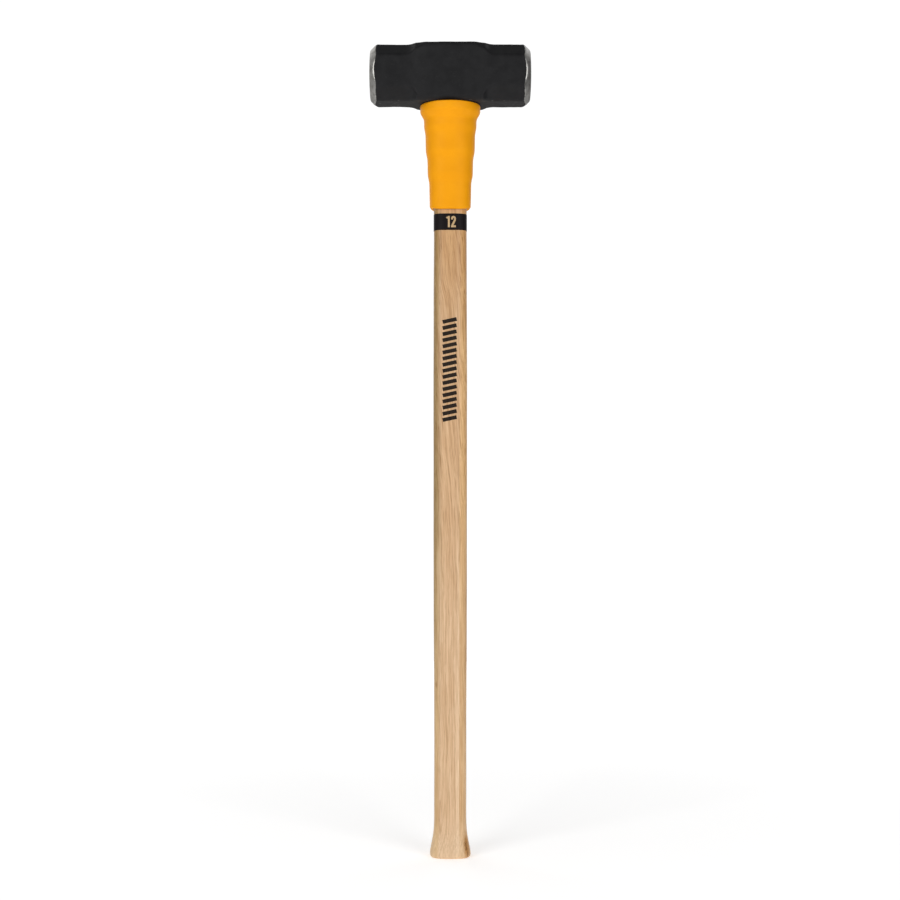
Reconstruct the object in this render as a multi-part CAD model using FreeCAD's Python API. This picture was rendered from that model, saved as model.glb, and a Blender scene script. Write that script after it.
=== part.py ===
"""A 12 lb double-faced sledgehammer on a 36 in hickory handle, standing on its butt.

Millimetres. The origin is the middle of the butt's flat end, +Z runs up the handle to the
head, and X runs along the head, so the two striking faces look along +X and -X.
"""

import FreeCAD, Part
import math
import os

V = FreeCAD.Vector
HEADINGS = [V(0, 1, 0), V(-1, 0, 0), V(0, -1, 0), V(1, 0, 0)]    # round an oval, per quarter

# ---- overall -------------------------------------------------------------------------
TOTAL_HEIGHT = 914.4                 # 36 in, butt end to the top of the head
HEAD_LENGTH = 183.0                  # between the crowns of the two faces
HEAD_ACROSS = 64.3                   # across the flats of each octagonal arm
SEAT_RISE = 1.6                      # the middle of the head hangs a little below the arms
CHEEK_RISE = 2.2                     # the eye walls swell slightly at front and back

# ---- head ----------------------------------------------------------------------------
HALF_LENGTH = HEAD_LENGTH / 2
HALF_ACROSS = HEAD_ACROSS / 2
HEAD_MID_Z = TOTAL_HEIGHT - HALF_ACROSS
HEAD_BOTTOM_Z = HEAD_MID_Z - HALF_ACROSS - SEAT_RISE
BOSS_ROOT = 50.0                     # where the bulges of the boss start, from the middle
BOSS_CROWN = 20.0                    # where they are at full height
ARM_CHAMFER = 15.0                   # leg of the arms' long chamfers
CHAMFER_END = 50.5                   # where the scoop at a chamfer's inner end starts
SCOOP_RADIUS = 14.0
BOSS_CHAMFER = 4.5                   # leg of the edge break along the boss
FACE_RADIUS = 28.0                   # the ground face inside its 45 degree bevel
FACE_CROWN = 1.3                     # how far the face's rim is set back
ENVELOPE_RADIUS = 50.0               # outside every corner of the head

# ---- eye: an oval hole, narrowest inside the head, so that wedges lock the tongue -----
EYE_BOTTOM = (18.6, 14.6)            # half width along X, half depth along Y
EYE_WAIST = (17.2, 13.2)
EYE_TOP = (19.3, 15.1)
EYE_WAIST_Z = HEAD_MID_Z - 6.0

# ---- handle: (height, half width along X, half depth along Y) --------------------------
HANDLE_STATIONS = [
    (0.0, 22.6, 17.9),
    (4.0, 23.1, 18.4),
    (8.0, 22.7, 18.1),
    (12.5, 21.8, 17.3),
    (17.0, 20.8, 16.4),
    (22.0, 19.8, 15.5),
    (28.0, 19.0, 14.8),
    (36.0, 18.4, 14.3),
    (50.0, 18.2, 14.1),
    (90.0, 18.2, 14.1),
    (160.0, 18.3, 14.2),
    (250.0, 18.7, 14.4),
    (360.0, 18.9, 14.6),
    (480.0, 19.0, 14.7),
    (590.0, 18.9, 14.7),
    (670.0, 18.6, 14.6),
    (723.0, 18.5, 14.6),
    (751.0, 18.9, 15.0),
    (782.0, 20.1, 16.0),
    (812.0, 21.5, 17.2),
    (835.0, 22.2, 18.0),
    (HEAD_BOTTOM_Z, 22.4, 18.2),
]
HANDLE_SQUARENESS = 3.0              # 2 is an ellipse, more is flatter at front and sides
BUTT_EDGE_RADIUS = 2.6
QUARTER_POINTS = 6                   # spans in each quarter of an oval section
EDGE_STEPS = 4                       # stations round a quarter-round edge

# ---- wedges and the saw kerf they are driven into ---------------------------------------
WOOD_WEDGE_DEPTH = 46.0
WOOD_WEDGE_TOP = 7.0                 # thickness at the top of the head
WOOD_WEDGE_TIP = 1.6                 # thickness at its tip, which is the kerf's width
KERF_BELOW_WEDGE = 10.0
STEEL_WEDGE_DEPTH = 27.0
STEEL_WEDGE_WIDTH = 21.0
STEEL_WEDGE_TOP = 4.4
STEEL_WEDGE_TIP = 1.2
STEEL_WEDGE_X = 9.0                  # either side of the middle of the eye
STEEL_WEDGE_TURN = 14.0              # degrees off square across the wood wedge

# ---- overstrike guard: a round rim that steps down the handle to an oval end -------------
GUARD_BOTTOM_Z = 729.5
RIM_RADIUS = 33.9
GUARD_TAPER = 0.02                   # mm of half size lost per mm of height, steps apart
GUARD_STEPS = [                      # (height, half height, half width lost, half depth lost)
    (836.0, 5.0, 4.0, 6.0),
    (819.5, 5.5, 1.4, 2.4),
    (791.8, 6.5, 1.6, 2.0),
    (765.3, 6.0, 1.6, 1.9),
]
GUARD_STATION_STEP = 2.0
GUARD_END_RADIUS = 2.4
ROUND = 2.0                          # squareness of the rim
GUARD_END_SQUARENESS = 2.6           # and of the lower end, which follows the handle

# ---- printed band that carries the weight mark ------------------------------------------
BAND_BOTTOM_Z = 706.3
BAND_HEIGHT = 18.5
BAND_THICKNESS = 0.3


# ---- shapes shared by several pieces -----------------------------------------------------
def oval_wire(half_width, half_depth, z, squareness=2.0):
    """A closed smooth oval at height z, in four quarters; squareness 2 gives an ellipse."""
    power = 2 / squareness
    quarters = []
    for quarter in range(4):
        points = []
        for i in range(QUARTER_POINTS + 1):
            angle = math.pi / 2 * (quarter + i / QUARTER_POINTS)
            c, s = round(math.cos(angle), 12), round(math.sin(angle), 12)
            x = half_width * math.copysign(abs(c) ** power, c)
            y = half_depth * math.copysign(abs(s) ** power, s)
            points.append(V(x, y, z))
        leave, arrive = HEADINGS[quarter], HEADINGS[(quarter + 1) % 4]
        curve = Part.BSplineCurve()
        curve.interpolate(Points=points, InitialTangent=leave, FinalTangent=arrive)
        quarters.append(curve.toShape())
    return Part.Wire(quarters)


def oval_loft(stations, squareness=2.0, low_squareness=None):
    """One smooth solid through (z, half width, half depth) stations.

    With low_squareness, the oval's squareness changes evenly from that at the lowest station.
    """
    if low_squareness is None:
        low_squareness = squareness
    low, high = stations[0][0], stations[-1][0]
    wires = []
    for z, half_width, half_depth in stations:
        share = (z - low) / (high - low)
        here = low_squareness + share * (squareness - low_squareness)
        wires.append(oval_wire(half_width, half_depth, z, here))
    return Part.makeLoft(wires, True, False)


def rounded_start(stations, radius):
    """The stations with the first one replaced by a quarter-round edge of that radius."""
    low = stations[0][0]
    edge = []
    for step in range(EDGE_STEPS + 1):
        angle = math.pi / 2 * step / EDGE_STEPS
        z = low + radius * (1 - math.cos(angle))
        half_width, half_depth = between(stations, z)
        inset = radius * (1 - math.sin(angle))
        edge.append((z, half_width - inset, half_depth - inset))
    return edge + [s for s in stations if s[0] > low + 1.4 * radius]


def between(stations, z):
    """Half width and half depth at height z, on straight lines between stations."""
    for (z0, x0, y0), (z1, x1, y1) in zip(stations, stations[1:]):
        if z0 <= z <= z1:
            t = (z - z0) / (z1 - z0)
            return x0 + t * (x1 - x0), y0 + t * (y1 - y0)
    raise ValueError("no station reaches that height")


def blend_curve(start, end):
    """A curve that leaves start and reaches end along X, as a forging's die walls do."""
    reach = V((end.x - start.x) / 2, 0, 0)
    curve = Part.BezierCurve()
    curve.setPoles([start, start + reach, end - reach, end])
    return curve.toShape()


# ---- head --------------------------------------------------------------------------------
def outline_run(height, rise):
    """One long side of an outline in the XZ plane: straight, or standing out at the boss."""
    left, right = V(-HALF_LENGTH, 0, height), V(HALF_LENGTH, 0, height)
    if rise == 0:
        return [Part.makeLine(left, right)]
    root_left, root_right = V(-BOSS_ROOT, 0, height), V(BOSS_ROOT, 0, height)
    crown_left, crown_right = V(-BOSS_CROWN, 0, height + rise), V(BOSS_CROWN, 0, height + rise)
    return [
        Part.makeLine(left, root_left),
        blend_curve(root_left, crown_left),
        Part.makeLine(crown_left, crown_right),
        blend_curve(crown_right, root_right),
        Part.makeLine(root_right, right),
    ]


def boss_outline(rise_up, rise_down):
    """Head outline in the XZ plane: straight arms and a boss that rises above and below."""
    edges = outline_run(HALF_ACROSS, rise_up) + outline_run(-HALF_ACROSS, -rise_down)
    for x in (-HALF_LENGTH, HALF_LENGTH):
        edges.append(Part.makeLine(V(x, 0, -HALF_ACROSS), V(x, 0, HALF_ACROSS)))
    return Part.Face(Part.Wire(Part.__sortEdges__(edges)))


def head_block():
    """The side outline and the plan outline, each swept square through the other."""
    reach = 2 * ENVELOPE_RADIUS
    side = boss_outline(0, SEAT_RISE)
    side.translate(V(0, -reach / 2, 0))
    plan = boss_outline(CHEEK_RISE, CHEEK_RISE)
    plan.rotate(V(0, 0, 0), V(1, 0, 0), -90)
    plan.translate(V(0, 0, -reach / 2))
    return side.extrude(V(0, reach, 0)).common(plan.extrude(V(0, 0, reach)))


def turned_envelope():
    """Both striking ends as a lathe would leave them: crowned face, then a 45 degree bevel."""
    rim_x = HALF_LENGTH - FACE_CROWN
    cone_x = rim_x - (ENVELOPE_RADIUS - FACE_RADIUS)
    middle = V(0, 0, 0)
    apex = V(HALF_LENGTH, 0, 0)
    crown_mid = V(HALF_LENGTH - FACE_CROWN / 4, 0, FACE_RADIUS / 2)
    face_rim = V(rim_x, 0, FACE_RADIUS)
    cone_top = V(cone_x, 0, ENVELOPE_RADIUS)
    belt = V(0, 0, ENVELOPE_RADIUS)
    edges = [
        Part.makeLine(middle, apex),
        Part.Arc(apex, crown_mid, face_rim).toShape(),
        Part.makeLine(face_rim, cone_top),
        Part.makeLine(cone_top, belt),
        Part.makeLine(belt, middle),
    ]
    half = Part.Face(Part.Wire(edges)).revolve(V(0, 0, 0), V(1, 0, 0), 360)
    return half.fuse(half.mirror(V(0, 0, 0), V(1, 0, 0)))


def chamfer_cutter():
    """Cuts one long chamfer of the +X arm, at its top, with a quarter-round inner end."""
    plane = (2 * HALF_ACROSS - ARM_CHAMFER) / math.sqrt(2)
    half_turn = math.sqrt(0.5)
    start = V(CHAMFER_END, 0, plane)
    middle = start + V(-half_turn, 0, 1 - half_turn) * SCOOP_RADIUS
    inner = start + V(-1, 0, 1) * SCOOP_RADIUS
    outer = V(HALF_LENGTH + 1, 0, plane)
    outer_top = V(outer.x, 0, inner.z)
    edges = [
        Part.makeLine(outer, start),
        Part.Arc(start, middle, inner).toShape(),
        Part.makeLine(inner, outer_top),
        Part.makeLine(outer_top, outer),
    ]
    face = Part.Face(Part.Wire(edges))
    face.translate(V(0, -HALF_ACROSS, 0))
    return face.extrude(V(0, 2 * HALF_ACROSS, 0))


def boss_edge_cutter():
    """Breaks one long edge of the whole head, so that the boss has no sharp corner."""
    corner = 2 * HALF_ACROSS + CHEEK_RISE + SEAT_RISE / 2
    plane = (corner - BOSS_CHAMFER) / math.sqrt(2)
    cutter = Part.makeBox(HEAD_LENGTH, HEAD_ACROSS, ENVELOPE_RADIUS)
    cutter.translate(V(-HALF_LENGTH, -HALF_ACROSS, plane))
    return cutter


def eye_solid():
    """The tapered oval that the eye and the handle's wedged tongue share."""
    levels = [(HEAD_BOTTOM_Z, EYE_BOTTOM), (EYE_WAIST_Z, EYE_WAIST), (TOTAL_HEIGHT, EYE_TOP)]
    stations = [(z, size[0], size[1]) for z, size in levels]
    return oval_loft(stations)


def hammer_head(eye):
    head = head_block().common(turned_envelope())
    for corner in range(4):
        turn = 45 + 90 * corner
        for cutter in (chamfer_cutter(), chamfer_cutter().mirror(V(0, 0, 0), V(1, 0, 0))):
            cutter.rotate(V(0, 0, 0), V(1, 0, 0), turn)
            head = head.cut(cutter)
        breaker = boss_edge_cutter()
        breaker.rotate(V(0, 0, 0), V(1, 0, 0), turn)
        head = head.cut(breaker)
    head.translate(V(0, 0, HEAD_MID_Z))
    return head.cut(eye)


# ---- wedges ------------------------------------------------------------------------------
def wedge_prism(length, depth, top, tip):
    """A tapered wedge, its length along X, driven down from the top of the head."""
    low = TOTAL_HEIGHT - depth
    corners = [
        V(0, -top / 2, TOTAL_HEIGHT),
        V(0, top / 2, TOTAL_HEIGHT),
        V(0, tip / 2, low),
        V(0, -tip / 2, low),
    ]
    face = Part.Face(Part.makePolygon(corners + corners[:1]))
    face.translate(V(-length / 2, 0, 0))
    return face.extrude(V(length, 0, 0))


def steel_wedge(side):
    """A steel wedge across the wood one, to the left (-1) or the right (+1) of the middle."""
    wedge = wedge_prism(STEEL_WEDGE_WIDTH, STEEL_WEDGE_DEPTH, STEEL_WEDGE_TOP, STEEL_WEDGE_TIP)
    wedge.rotate(V(0, 0, 0), V(0, 0, 1), 90 + side * STEEL_WEDGE_TURN)
    wedge.translate(V(side * STEEL_WEDGE_X, 0, 0))
    return wedge


def wood_wedge(eye, steel_wedges):
    length = 2 * EYE_TOP[0] + 2
    wedge = wedge_prism(length, WOOD_WEDGE_DEPTH, WOOD_WEDGE_TOP, WOOD_WEDGE_TIP).common(eye)
    for steel in steel_wedges:
        wedge = wedge.cut(steel)
    return wedge


# ---- handle ------------------------------------------------------------------------------
def saw_kerf():
    """The slot left open below the wood wedge's tip."""
    length = 2 * EYE_TOP[0] + 2
    kerf = Part.makeBox(length, WOOD_WEDGE_TIP, KERF_BELOW_WEDGE)
    low = TOTAL_HEIGHT - WOOD_WEDGE_DEPTH - KERF_BELOW_WEDGE
    kerf.translate(V(-length / 2, -WOOD_WEDGE_TIP / 2, low))
    return kerf


def shaft():
    """The handle below the head, with its rounded butt edge."""
    return oval_loft(rounded_start(HANDLE_STATIONS, BUTT_EDGE_RADIUS), HANDLE_SQUARENESS)


def handle(shaft_solid, eye, wedges):
    body = shaft_solid.fuse(eye)
    for piece in [saw_kerf()] + wedges:
        body = body.cut(piece)
    return body


# ---- guard and band ------------------------------------------------------------------------
def guard_half_sizes(z):
    """Outer half width and half depth of the guard: the rim's, less the taper and the steps."""
    width = RIM_RADIUS - GUARD_TAPER * (HEAD_BOTTOM_Z - z)
    depth = width
    for step_z, half_height, width_lost, depth_lost in GUARD_STEPS:
        t = min(1.0, max(0.0, (step_z + half_height - z) / (2 * half_height)))
        share = t * t * (3 - 2 * t)
        width -= share * width_lost
        depth -= share * depth_lost
    return width, depth


def overstrike_guard(shaft_solid):
    count = round((HEAD_BOTTOM_Z - GUARD_BOTTOM_Z) / GUARD_STATION_STEP)
    stations = []
    for i in range(count + 1):
        z = GUARD_BOTTOM_Z + (HEAD_BOTTOM_Z - GUARD_BOTTOM_Z) * i / count
        stations.append((z, *guard_half_sizes(z)))
    body = oval_loft(rounded_start(stations, GUARD_END_RADIUS), ROUND, GUARD_END_SQUARENESS)
    return body.cut(shaft_solid)


def weight_band(shaft_solid):
    stations = []
    for z in (BAND_BOTTOM_Z, BAND_BOTTOM_Z + BAND_HEIGHT / 2, BAND_BOTTOM_Z + BAND_HEIGHT):
        half_width, half_depth = between(HANDLE_STATIONS, z)
        stations.append((z, half_width + BAND_THICKNESS, half_depth + BAND_THICKNESS))
    return oval_loft(stations, HANDLE_SQUARENESS).cut(shaft_solid)


def main():
    eye = eye_solid()
    shaft_solid = shaft()
    steel_wedges = [steel_wedge(-1), steel_wedge(1)]
    timber_wedge = wood_wedge(eye, steel_wedges)
    nodes = {
        "hammer_head": hammer_head(eye),
        "handle": handle(shaft_solid, eye, [timber_wedge] + steel_wedges),
        "wood_wedge": timber_wedge,
        "steel_wedge_left": steel_wedges[0],
        "steel_wedge_right": steel_wedges[1],
        "overstrike_guard": overstrike_guard(shaft_solid),
        "weight_band": weight_band(shaft_solid),
    }
    os.makedirs("parts", exist_ok=True)
    for name, shape in nodes.items():
        shape.exportStep("parts/" + name + ".step")
        box = shape.optimalBoundingBox()
        print(
            f"{name}: {len(shape.Solids)} solid, valid {shape.isValid()}, "
            f"{shape.Volume / 1000:.1f} cm3, z {box.ZMin:.2f} to {box.ZMax:.2f}, "
            f"x {box.XMin:.2f} to {box.XMax:.2f}, y {box.YMin:.2f} to {box.YMax:.2f}"
        )


main()
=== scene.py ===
"""A 12 lb double-faced sledgehammer on a hickory handle: the looks around its CAD frame.

Metres, in the row frame: the butt stands on z = 0, the head lies along X at the top and the
camera looks along +Y. Lengths are named in millimetres and turned into metres by MM.
"""

import math

import bmesh
import bpy
import numpy as np
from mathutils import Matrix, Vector, noise
from mathutils.bvhtree import BVHTree
from numpy.linalg import norm


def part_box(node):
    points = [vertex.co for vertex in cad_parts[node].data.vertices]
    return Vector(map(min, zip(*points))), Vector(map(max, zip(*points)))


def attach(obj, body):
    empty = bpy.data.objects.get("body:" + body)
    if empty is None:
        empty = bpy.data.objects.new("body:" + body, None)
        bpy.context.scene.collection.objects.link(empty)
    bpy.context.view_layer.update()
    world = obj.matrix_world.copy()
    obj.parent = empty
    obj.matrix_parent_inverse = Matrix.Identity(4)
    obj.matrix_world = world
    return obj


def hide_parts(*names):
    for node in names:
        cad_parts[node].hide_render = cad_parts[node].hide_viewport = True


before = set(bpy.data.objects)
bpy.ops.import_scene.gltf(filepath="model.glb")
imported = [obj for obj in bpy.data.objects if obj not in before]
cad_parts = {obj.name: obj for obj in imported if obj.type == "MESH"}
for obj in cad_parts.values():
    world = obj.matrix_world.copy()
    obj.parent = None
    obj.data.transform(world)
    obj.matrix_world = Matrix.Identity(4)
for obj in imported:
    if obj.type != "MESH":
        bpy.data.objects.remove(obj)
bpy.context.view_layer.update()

MM = 0.001
BODY = "root"
REACH = 0.3  # farther out than any surface, for measuring rays
MERGE_DISTANCE = 1e-7  # points closer than this become one
OVAL_SAMPLES = 2881  # points that an oval's length is measured over
SHARP_EDGE = math.radians(35)
HEAD_SHARP_EDGE = math.radians(40)
BATTERED_SHARP_EDGE = math.radians(50)
SEED_STEPS = (7.3, 3.1, 5.7)  # how far apart two seeds lie in the noise

# ---- shapes that the CAD model shares ----
HEAD_LOW, HEAD_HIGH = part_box("hammer_head")
GUARD_LOW, GUARD_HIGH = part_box("overstrike_guard")
BAND_LOW, BAND_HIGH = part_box("weight_band")
WEDGE_LOW, WEDGE_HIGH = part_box("wood_wedge")
HANDLE_SQUARENESS = 3.0  # 2 is an ellipse, more is flatter
GUARD_RIM_SQUARENESS = 2.0
GUARD_END_SQUARENESS = 2.6
EYE_SQUARENESS = 2.0
SEAT_RISE = 1.6 * MM  # how far the head's middle hangs below its arms
BOSS_ROOT = 50.0 * MM
BOSS_CROWN = 20.0 * MM
ARM_CHAMFER = 15.0 * MM
CHAMFER_END = 50.5 * MM
SCOOP_RADIUS = 14.0 * MM
BOSS_CHAMFER = 4.5 * MM
FACE_RADIUS = 28.0 * MM
FACE_CROWN = 1.3 * MM
WEDGE_TIP = 1.6 * MM


# ---- meshes ----
def placed(name, data):
    """A new object in the scene."""
    thing = bpy.data.objects.new(name, data)
    bpy.context.scene.collection.objects.link(thing)
    return thing


def new_piece(name, verts, faces, material):
    """A smooth-shaded mesh object with its normals outward and its hard edges marked."""
    mesh = bpy.data.meshes.new(name)
    mesh.from_pydata([tuple(v) for v in verts], [], faces)
    work = bmesh.new()
    work.from_mesh(mesh)
    bmesh.ops.remove_doubles(work, verts=work.verts, dist=MERGE_DISTANCE)
    bmesh.ops.recalc_face_normals(work, faces=work.faces)
    work.to_mesh(mesh)
    work.free()
    mesh.shade_smooth()
    mesh.set_sharp_from_angle(angle=SHARP_EDGE)
    mesh.materials.append(MATERIALS[material])
    return placed(name, mesh)


def finish_piece(piece, slot, *nodes):
    """The piece rides with the tool and stands for its CAD nodes, which it hides; slot is not used.
    """
    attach(piece, BODY)
    if nodes:
        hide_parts(*nodes)
    return piece


def tube_faces(ring_count, ring_size):
    """Quads between consecutive closed rings of ring_size points."""
    faces = []
    for r in range(ring_count - 1):
        low, high = r * ring_size, (r + 1) * ring_size
        for k in range(ring_size):
            after = (k + 1) % ring_size
            faces.append((low + k, low + after, high + after, high + k))
    return faces


def capped_tube(rings, low_centre=None, high_centre=None):
    """Vertices and faces of a tube through rings, closed by a fan to each given centre."""
    size = len(rings[0])
    verts = [tuple(p) for ring in rings for p in ring]
    faces = tube_faces(len(rings), size)
    for centre, first in ((low_centre, 0), (high_centre, (len(rings) - 1) * size)):
        if centre is not None:
            verts.append(tuple(centre))
            middle = len(verts) - 1
            faces += [(middle, first + k, first + (k + 1) % size) for k in range(size)]
    return verts, faces


def looped_tube(rings):
    """Vertices and faces of a tube whose last ring is joined to its first."""
    verts, faces = capped_tube(rings)
    size = len(rings[0])
    last = (len(rings) - 1) * size
    faces += [(last + k, last + (k + 1) % size, (k + 1) % size, k) for k in range(size)]
    return verts, faces


def combine(target, cutter, operation):
    """Applies an exact boolean to target and removes the cutter."""
    modifier = target.modifiers.new("cut", "BOOLEAN")
    modifier.operation = operation
    modifier.solver = "EXACT"
    modifier.object = cutter
    depsgraph = bpy.context.evaluated_depsgraph_get()
    made = bpy.data.meshes.new_from_object(target.evaluated_get(depsgraph))
    target.modifiers.clear()
    old = target.data
    target.data = made
    bpy.data.meshes.remove(old)
    bpy.data.objects.remove(cutter)


def smooth_step(t):
    t = np.clip(t, 0, 1)
    return t * t * (3 - 2 * t)


def points_and_faces(thing):
    """An object's mesh as plain lists."""
    mesh = thing.data
    return [tuple(v.co) for v in mesh.vertices], [tuple(p.vertices) for p in mesh.polygons]


def node_tree_of(node):
    """A ray-casting tree of a CAD node's mesh."""
    return BVHTree.FromPolygons(*points_and_faces(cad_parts[node]))


def half_sizes(tree, z, start=REACH):
    """Half width and half depth at height z, of the outside or, with start=0, of a hole."""
    way = -1 if start else 1
    x = tree.ray_cast(Vector((start, 0, z)), Vector((way, 0, 0)))[0].x
    y = tree.ray_cast(Vector((0, start, z)), Vector((0, way, 0)))[0].y
    return x, y


def profile(tree, levels, blur=1, **measure):
    """Half sizes at each level, with the CAD mesh's small facets blurred out."""
    sizes = np.array([half_sizes(tree, z, **measure) for z in levels])
    for _ in range(blur):
        inner = (sizes[:-2] + 2 * sizes[1:-1] + sizes[2:]) / 4
        sizes = np.vstack([sizes[:1], inner, sizes[-1:]])
    return sizes


def oval_ring(half_width, half_depth, squareness, shares, z):
    """Points round a level oval at the given shares (0 to 1) of its length, from +X."""
    angle = np.linspace(0, 2 * np.pi, OVAL_SAMPLES)
    c, s = np.cos(angle), np.sin(angle)
    power = 2 / squareness
    x = half_width * np.sign(c) * np.abs(c) ** power
    y = half_depth * np.sign(s) * np.abs(s) ** power
    run = np.concatenate([[0], np.cumsum(np.hypot(np.diff(x), np.diff(y)))])
    at = np.asarray(shares) * run[-1]
    return np.column_stack([np.interp(at, run, x), np.interp(at, run, y), np.full(len(at), z)])


def stacked_sizes(tree, edge_levels, body_levels):
    """Outside half sizes at a fine edge's levels and, slightly smoothed, up the body."""
    edge = profile(tree, edge_levels, blur=0)
    body = profile(tree, body_levels, blur=2)
    return np.vstack([edge, body])


def even_shares(count):
    return np.arange(count) / count


def with_height(ring, z):
    return np.column_stack([ring, np.full(len(ring), z)])


def outward(ring):
    """Level unit vectors from the Z axis towards each point of a ring."""
    flat = ring * (1, 1, 0)
    return flat / norm(flat, axis=1, keepdims=True)


def levels_between(low, high, step):
    count = max(2, round((high - low) / step) + 1)
    return list(np.linspace(low, high, count))


def rumple(points, size, height, seed):
    """Smooth noise of about the given feature size and height, one value per point."""
    shift = Vector([seed * step for step in SEED_STEPS])
    return np.array([height * noise.noise(Vector(p) / size + shift) for p in points])


# ---- shaders ----
class Nodes:
    """A node tree being built: each call adds one node and gives back its output."""

    def __init__(self, owner):
        owner.use_nodes = True
        self.tree = owner.node_tree

    def put(self, socket, value):
        if isinstance(value, bpy.types.NodeSocket):
            self.tree.links.new(value, socket)
        elif isinstance(value, tuple) and len(value) == 3 and socket.type == "RGBA":
            socket.default_value = (*value, 1)
        else:
            socket.default_value = value

    def fill(self, node, **inputs):
        """Sets a node's inputs, by name with _ for a space."""
        for name, value in inputs.items():
            self.put(node.inputs[name.replace("_", " ")], value)
        return node

    def node(self, kind, **inputs):
        return self.fill(self.tree.nodes.new("ShaderNode" + kind), **inputs)

    def axes(self, vector):
        return tuple(self.node("SeparateXYZ", Vector=vector).outputs)

    def joined(self, x, y, z):
        return self.node("CombineXYZ", X=x, Y=y, Z=z).outputs[0]

    def vector(self, operation, a, b=None, **inputs):
        node = self.node("VectorMath")
        node.operation = operation
        self.fill(node, **inputs)
        self.put(node.inputs[0], a)
        if b is not None:
            self.put(node.inputs[1], b)
        return node.outputs["Value" if operation == "LENGTH" else "Vector"]

    def math(self, operation, *values):
        node = self.node("Math")
        node.operation = operation
        for socket, value in zip(node.inputs, values):
            self.put(socket, value)
        return node.outputs[0]

    def times(self, a, b):
        return self.math("MULTIPLY", a, b)

    def plus(self, a, b):
        return self.math("ADD", a, b)

    def minus(self, a, b):
        return self.math("SUBTRACT", a, b)

    def affine(self, a, factor, offset):
        return self.math("MULTIPLY_ADD", a, factor, offset)

    def ramp(self, value, low, high, start=0.0, end=1.0):
        """A smooth step of value from start at low to end at high."""
        node = self.node("MapRange", Value=value, From_Min=low, From_Max=high)
        node.interpolation_type = "SMOOTHSTEP"
        return self.fill(node, To_Min=start, To_Max=end).outputs["Result"]


class Shader(Nodes):
    """The node tree of a new surface material; place is in the row frame's millimetres."""

    def __init__(self, name):
        self.material = bpy.data.materials.new(name)
        super().__init__(self.material)
        coordinates = self.node("TexCoord").outputs["Object"]
        self.place = self.vector("SCALE", coordinates, Scale=1000.0)

    def set(self, **inputs):
        """Sets the surface's own inputs and gives back the material."""
        self.fill(self.tree.nodes["Principled BSDF"], **inputs)
        return self.material

    def attribute(self, name):
        node = self.node("Attribute")
        node.attribute_name = name
        return node.outputs["Fac"]

    def normal_z(self):
        return self.axes(self.node("NewGeometry").outputs["Normal"])[2]

    def noise(self, vector, scale=1.0, detail=2.0, roughness=0.5):
        """Noise from 0 to 1, about 0.5, with features about 1 / scale long."""
        node = self.node("TexNoise", Vector=vector, Scale=scale, Detail=detail)
        return self.fill(node, Roughness=roughness).outputs["Fac"]

    def drawn_out(self, vector, across, upward, detail=2.0, roughness=0.5):
        """Noise with features about 1 / across wide and 1 / upward tall."""
        squeezed = self.vector("MULTIPLY", vector, (across, across, upward))
        return self.noise(squeezed, detail=detail, roughness=roughness)

    def mix(self, share, a, b, blend="MIX"):
        node = self.node("Mix")
        node.data_type = "RGBA"
        node.blend_type = blend
        self.put(node.inputs["Factor"], share)
        self.put([s for s in node.inputs if s.name == "A" and s.type == "RGBA"][0], a)
        self.put([s for s in node.inputs if s.name == "B" and s.type == "RGBA"][0], b)
        return [s for s in node.outputs if s.type == "RGBA"][0]

    def layered(self, colour, *layers, blend="MIX"):
        """The colour with each (share, colour) layer mixed over it in turn."""
        for share, over in layers:
            colour = self.mix(share, colour, over, blend)
        return colour

    def bump(self, height, distance, strength, **below):
        """A bump of the given height in metres; Normal= is the one that it lies on."""
        node = self.node("Bump", Height=height, Distance=distance, Strength=strength, **below)
        return node.outputs["Normal"]


# colours are linear; places in the handle are in millimetres
WOOD_TAN, WOOD_LIGHT, WOOD_PALE = (0.60, 0.383, 0.215), (0.70, 0.478, 0.289), (0.86, 0.64, 0.43)
WOOD_RING, WOOD_FIBRE, WOOD_STROKE = (0.43, 0.235, 0.10), (0.43, 0.25, 0.115), (0.40, 0.225, 0.095)
WOOD_PORE, WOOD_END = (0.26, 0.13, 0.055), (0.30, 0.165, 0.075)
PITH_LEFT, PITH_BEHIND = 24.0, 16.0
RING_WIDTH = 1.75
PALE_STRIP_X = 8.0
KNOT_PLACE, KNOT_BROWN, KNOT_DARK = (19.0, -13.0, 15.0), (0.44, 0.195, 0.036), (0.17, 0.07, 0.018)
SMALL_KNOT_PLACE, SMALL_KNOT_BROWN = (-15.5, -9.0, 195.0), (0.30, 0.16, 0.05)


def growth_rings(s, grain):
    """Lines of rings of uneven widths, about a pith behind the handle and to its left."""
    x, y, z = s.axes(grain)
    off_x, off_y = s.plus(x, PITH_LEFT), s.minus(y, PITH_BEHIND)
    radius = s.vector("LENGTH", s.joined(off_x, off_y, 0.0))
    wobble = s.drawn_out(grain, across=0.5, upward=0.035, detail=3.0)
    radius = s.affine(wobble, 1.6, radius)
    widths = s.noise(s.joined(radius, 0.0, 0.0), scale=0.24, detail=1.0)
    radius = s.affine(widths, 3.4, radius)
    ring = s.math("FRACT", s.math("DIVIDE", radius, RING_WIDTH))
    early = s.minus(1.0, s.ramp(ring, 0.0, 0.36))
    late = s.ramp(ring, 0.80, 1.0)
    faint = s.noise(s.joined(radius, 3.0, s.times(z, 0.02)), scale=0.36)
    return s.times(s.math("MAXIMUM", early, late), s.ramp(faint, 0.35, 0.65, 0.1, 1.0))


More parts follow.
